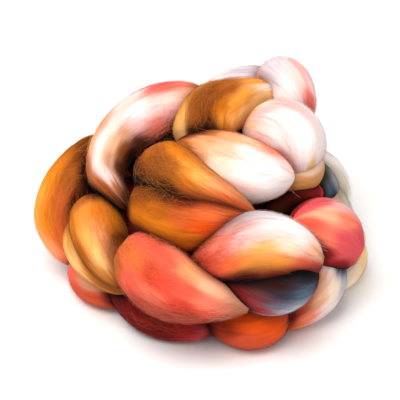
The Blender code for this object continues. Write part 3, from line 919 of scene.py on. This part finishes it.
def dye_bath_and_shade():
    """Group: dyes streaked along the fibres, lighter and darker locks, and painted shade where the wool is
    tucked in.
    """
    if "dye bath and painted shade" in bpy.data.node_groups:
        return bpy.data.node_groups["dye bath and painted shade"]
    tree, given, result = new_group("dye bath and painted shade", (
        ("Dye", "NodeSocketColor", None), ("Bleed", "NodeSocketColor", None),
        ("Fibre", "NodeSocketVector", None), ("Painted shade", "NodeSocketFloat", 0.0),
        ("Streaks", "NodeSocketFloat", 0.8), ("Locks", "NodeSocketFloat", 0.16),
        ("Shade", "NodeSocketFloat", 0.5)), (("Color", "NodeSocketColor"),))
    fibre = given.outputs["Fibre"]
    streak = remap(tree, fibre_noise(tree, fibre, 26.0, 1.3, 3.0), 0.40, 0.62, 0.0, 1.0)
    streak = math_node(tree, "MULTIPLY", streak, given.outputs["Streaks"])
    colour = mix_colour(tree, "MIX", streak, given.outputs["Dye"], given.outputs["Bleed"])
    lock = remap(tree, fibre_noise(tree, fibre, 26.0, 1.6, 3.0, 0.65), 0.3, 0.7, -1.0, 1.0)
    lock = math_node(tree, "MULTIPLY", lock, given.outputs["Locks"])
    light = math_node(tree, "MAXIMUM", lock, 0.0)
    dark = math_node(tree, "MAXIMUM", math_node(tree, "MULTIPLY", lock, DARK_LOCK), 0.0)
    colour = mix_colour(tree, "MULTIPLY", light, colour, LIGHT_LOCK)
    colour = mix_colour(tree, "MULTIPLY", dark, colour, colour)
    # painted shade: where wool is tucked in, its colour goes towards itself times its own grey, tinted
    # redder for dark wool than for pale
    deep = math_node(tree, "MULTIPLY", given.outputs["Painted shade"], given.outputs["Shade"])
    grey = tree.nodes.new("ShaderNodeRGBToBW")
    tree.links.new(colour, grey.inputs["Color"])
    shaded = mix_colour(tree, "MULTIPLY", 1.0, colour, grey.outputs["Val"])
    shade_tint = mix_colour(tree, "MIX", grey.outputs["Val"], DARK_WOOL_SHADE, PALE_WOOL_SHADE)
    shaded = mix_colour(tree, "MULTIPLY", 1.0, shaded, shade_tint)
    colour = mix_colour(tree, "MIX", deep, colour, shaded)
    tree.links.new(colour, result.inputs["Color"])
    return tree


def fibre_grain():
    """Group: height of the fine fibres, for the bump."""
    if "fibre grain" in bpy.data.node_groups:
        return bpy.data.node_groups["fibre grain"]
    tree, given, result = new_group("fibre grain", (
        ("Fibre", "NodeSocketVector", None), ("Fineness", "NodeSocketFloat", 1.0)),
        (("Height", "NodeSocketFloat"),))
    scaled = tree.nodes.new("ShaderNodeVectorMath")
    scaled.operation = "SCALE"
    tree.links.new(given.outputs["Fibre"], scaled.inputs[0])
    tree.links.new(given.outputs["Fineness"], scaled.inputs["Scale"])
    coarse = fibre_noise(tree, scaled.outputs[0], 15.0, 1.0, 2.0)
    fine = fibre_noise(tree, scaled.outputs[0], 46.0, 1.6, 2.0, 0.6)
    coarse = math_node(tree, "MULTIPLY", coarse, 0.6)
    fine = math_node(tree, "MULTIPLY", fine, 0.4)
    tree.links.new(math_node(tree, "ADD", coarse, fine), result.inputs["Height"])
    return tree


def attribute(tree, name, output):
    """What the piece holds under this name."""
    node = tree.nodes.new("ShaderNodeAttribute")
    node.attribute_name = name
    return node.outputs[output]


def wool(name, streaks, locks, shade, bump, sheen, translucence):
    """A dyed wool material that reads the dyes, fibre directions and painted shade of its piece."""
    if name in bpy.data.materials:
        return bpy.data.materials[name]
    material = bpy.data.materials.new(name)
    material.use_nodes = True
    tree = material.node_tree
    shader = tree.nodes["Principled BSDF"]
    fibre = attribute(tree, "fibre", "Vector")
    # this group paints the dyes and the painted shade
    bath_and_shade = tree.nodes.new("ShaderNodeGroup")
    bath_and_shade.node_tree = dye_bath_and_shade()
    for socket, value in (("Dye", attribute(tree, "dye", "Color")),
                          ("Bleed", attribute(tree, "bleed", "Color")),
                          ("Fibre", fibre), ("Painted shade", attribute(tree, "painted_shade", "Fac")),
                          ("Streaks", streaks), ("Locks", locks), ("Shade", shade)):
        feed(tree, bath_and_shade.inputs[socket], value)
    tree.links.new(bath_and_shade.outputs["Color"], shader.inputs["Base Color"])
    shader.inputs["Roughness"].default_value = 0.88
    shader.inputs["Specular IOR Level"].default_value = 0.12
    shader.inputs["Sheen Weight"].default_value = sheen
    shader.inputs["Sheen Roughness"].default_value = 0.45
    if translucence:
        shader.inputs["Subsurface Weight"].default_value = translucence
        shader.inputs["Subsurface Radius"].default_value = (1.0, 0.55, 0.4)
        shader.inputs["Subsurface Scale"].default_value = 4.0 * MM
    if bump:
        grain = tree.nodes.new("ShaderNodeGroup")
        grain.node_tree = fibre_grain()
        tree.links.new(fibre, grain.inputs["Fibre"])
        raise_it = tree.nodes.new("ShaderNodeBump")
        raise_it.inputs["Strength"].default_value = bump
        raise_it.inputs["Distance"].default_value = 0.8 * MM
        tree.links.new(grain.outputs["Height"], raise_it.inputs["Height"])
        tree.links.new(raise_it.outputs["Normal"], shader.inputs["Normal"])
    return material


def combed_wool():
    """The wool of the folds: streaked along its fibres, and a little light goes through it."""
    return wool("combed_wool", streaks=0.22, locks=0.05, shade=1.0, bump=0.2, sheen=0.0, translucence=0.2)


def loose_wool():
    """The wool of single fibres."""
    return wool("loose_wool", streaks=0.0, locks=0.05, shade=0.8, bump=0.0, sheen=0.05, translucence=0.0)


def place_piece(piece, material):
    """Finish a piece: give it its material, set it on the body it rides on and hide the solid it takes the
    place of.
    """
    piece.data.materials.append(material)
    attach(piece, BODY)
    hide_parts(NODE)


def lay_folds(scene, name, folds, rings, sides):
    """Make these folds as one piece."""
    place_piece(wool_mesh(name, folds, rings, sides, scene.roving_shape, dye_table(scene)), combed_wool())


def lay_fibres(scene, name, strands, step):
    """Make these strands as one piece, with their own run of random numbers."""
    loose = scene.roving_fibres
    rng = np.random.default_rng(loose.seed + step)
    place_piece(fibre_mesh(name, *strands(rng, loose, dye_table(scene))), loose_wool())


# ---------------------------------------------------------------- operators

FLOOR_SIZE = 6.0                     # stage sizes and places in metres
FLOOR_MIDDLE = (0.0, 1.0, 0.0)
LAMP_SIZE = 1.2
LAMP_PLACE = (-0.40, -0.56, 1.55)
LAMP_COLOUR = (1.0, 0.97, 0.94)
LAMP_AIM = (0.0, 0.0, 0.05)
CAMERA_AIM = (0.0, 0.0, 0.056)
SENSOR_WIDTH = 36.0                  # millimetres


class ROVING_OT_crown_folds(bpy.types.Operator):
    """Make the folds of the upper coil"""
    bl_idname = "roving.crown_folds"
    bl_label = "Upper folds"

    def execute(self, context):
        shape = context.scene.roving_shape
        lay_folds(context.scene, "upper_folds", CROWN, shape.rings, shape.sides)
        return {"FINISHED"}


class ROVING_OT_rim_folds(bpy.types.Operator):
    """Make the folds of the lower coil"""
    bl_idname = "roving.rim_folds"
    bl_label = "Lower folds"

    def execute(self, context):
        shape = context.scene.roving_shape
        lay_folds(context.scene, "lower_folds", RIM, shape.rings, shape.sides)
        return {"FINISHED"}


class ROVING_OT_back_folds(bpy.types.Operator):
    """Make the leaning folds round the back"""
    bl_idname = "roving.back_folds"
    bl_label = "Back folds"

    def execute(self, context):
        shape = context.scene.roving_shape
        lay_folds(context.scene, "back_folds", BACK, shape.back_rings, shape.back_sides)
        return {"FINISHED"}


class ROVING_OT_packed_wool(bpy.types.Operator):
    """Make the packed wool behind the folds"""
    bl_idname = "roving.packed_wool"
    bl_label = "Packed wool"

    def execute(self, context):
        shape = context.scene.roving_shape
        lay_folds(context.scene, "packed_wool", PACKED, shape.rings, shape.sides)
        return {"FINISHED"}


class ROVING_OT_lying_fibres(bpy.types.Operator):
    """Lay loose fibres along the folds"""
    bl_idname = "roving.lying_fibres"
    bl_label = "Lying fibres"

    def execute(self, context):
        lay_fibres(context.scene, "lying_fibres", lying_fibres, 0)
        return {"FINISHED"}


class ROVING_OT_flying_fibres(bpy.types.Operator):
    """Stand loose fibres off the folds"""
    bl_idname = "roving.flying_fibres"
    bl_label = "Flying fibres"

    def execute(self, context):
        lay_fibres(context.scene, "flying_fibres", flying_fibres, 1)
        return {"FINISHED"}


class ROVING_OT_curly_fibres(bpy.types.Operator):
    """Raise curly fuzz where the wool has been rubbed"""
    bl_idname = "roving.curly_fibres"
    bl_label = "Curly fuzz"

    def execute(self, context):
        lay_fibres(context.scene, "curly_fibres", curly_fibres, 2)
        return {"FINISHED"}


class ROVING_OT_stage(bpy.types.Operator):
    """Set up the floor, the lights and the camera"""
    bl_idname = "roving.stage"
    bl_label = "Stage"

    def execute(self, context):
        scene = context.scene
        values = scene.roving_stage
        for thing in context.selected_objects:
            thing.select_set(False)
        bpy.ops.mesh.primitive_plane_add(size=FLOOR_SIZE, location=FLOOR_MIDDLE)
        floor = context.active_object
        floor.name = "floor"
        paper = bpy.data.materials.new("floor_paper")
        paper.use_nodes = True
        shader = paper.node_tree.nodes["Principled BSDF"]
        shader.inputs["Base Color"].default_value = (*values.floor, 1.0)
        shader.inputs["Roughness"].default_value = 0.9
        floor.data.materials.append(paper)
        key = bpy.data.lights.new("key", "AREA")
        key.shape = "DISK"
        key.size = LAMP_SIZE
        key.energy = values.key_power
        key.color = LAMP_COLOUR
        lamp = bpy.data.objects.new("key", key)
        lamp.location = LAMP_PLACE
        aim = Vector(LAMP_AIM) - lamp.location
        lamp.rotation_euler = aim.to_track_quat("-Z", "Y").to_euler()
        scene.collection.objects.link(lamp)
        world = bpy.data.worlds.new("studio")
        world.use_nodes = True
        sky = world.node_tree.nodes["Background"]
        sky.inputs["Color"].default_value = (1.0, 1.0, 1.0, 1.0)
        sky.inputs["Strength"].default_value = values.fill
        scene.world = world
        lens = bpy.data.cameras.new("camera")
        lens.lens = values.lens
        lens.sensor_width = SENSOR_WIDTH
        camera = bpy.data.objects.new("camera", lens)
        look = Vector((0.0, math.cos(values.elevation), -math.sin(values.elevation)))
        camera.location = Vector(CAMERA_AIM) - look * values.distance
        camera.rotation_euler = (math.pi / 2.0 - values.elevation, 0.0, 0.0)
        scene.collection.objects.link(camera)
        scene.camera = camera
        scene.view_settings.view_transform = "Standard"
        return {"FINISHED"}


class ROVING_PT_panel(bpy.types.Panel):
    """Steps and values of the roving"""
    bl_idname = "ROVING_PT_panel"
    bl_label = "Roving"
    bl_space_type = "VIEW_3D"
    bl_region_type = "UI"
    bl_category = "Roving"

    def draw(self, context):
        for step in STEPS:
            self.layout.operator(step.bl_idname)
        for name, group in GROUPS.items():
            box = self.layout.box()
            for key in group.__annotations__:
                box.prop(getattr(context.scene, name), key)


GROUPS = {"roving_dyes": RovingDyes, "roving_shape": RovingShape, "roving_fibres": RovingFibres,
          "roving_stage": RovingStage}
STEPS = (ROVING_OT_packed_wool, ROVING_OT_back_folds, ROVING_OT_rim_folds, ROVING_OT_crown_folds,
         ROVING_OT_lying_fibres, ROVING_OT_flying_fibres, ROVING_OT_curly_fibres, ROVING_OT_stage)


def register():
    """Add the values, the operators and the panel to Blender."""
    for name, group in GROUPS.items():
        bpy.utils.register_class(group)
        setattr(bpy.types.Scene, name, PointerProperty(type=group))
    for step in STEPS:
        bpy.utils.register_class(step)
    bpy.utils.register_class(ROVING_PT_panel)


def unregister():
    """Take them out again."""
    bpy.utils.unregister_class(ROVING_PT_panel)
    for step in reversed(STEPS):
        bpy.utils.unregister_class(step)
    for name, group in GROUPS.items():
        delattr(bpy.types.Scene, name)
        bpy.utils.unregister_class(group)


def main():
    """Make every piece and the stage."""
    register()
    bpy.ops.object.select_all(action="DESELECT")
    bpy.ops.roving.packed_wool()
    bpy.ops.roving.back_folds()
    bpy.ops.roving.rim_folds()
    bpy.ops.roving.crown_folds()
    bpy.ops.roving.lying_fibres()
    bpy.ops.roving.flying_fibres()
    bpy.ops.roving.curly_fibres()
    bpy.ops.roving.stage()


if __name__ == "__main__":
    main()
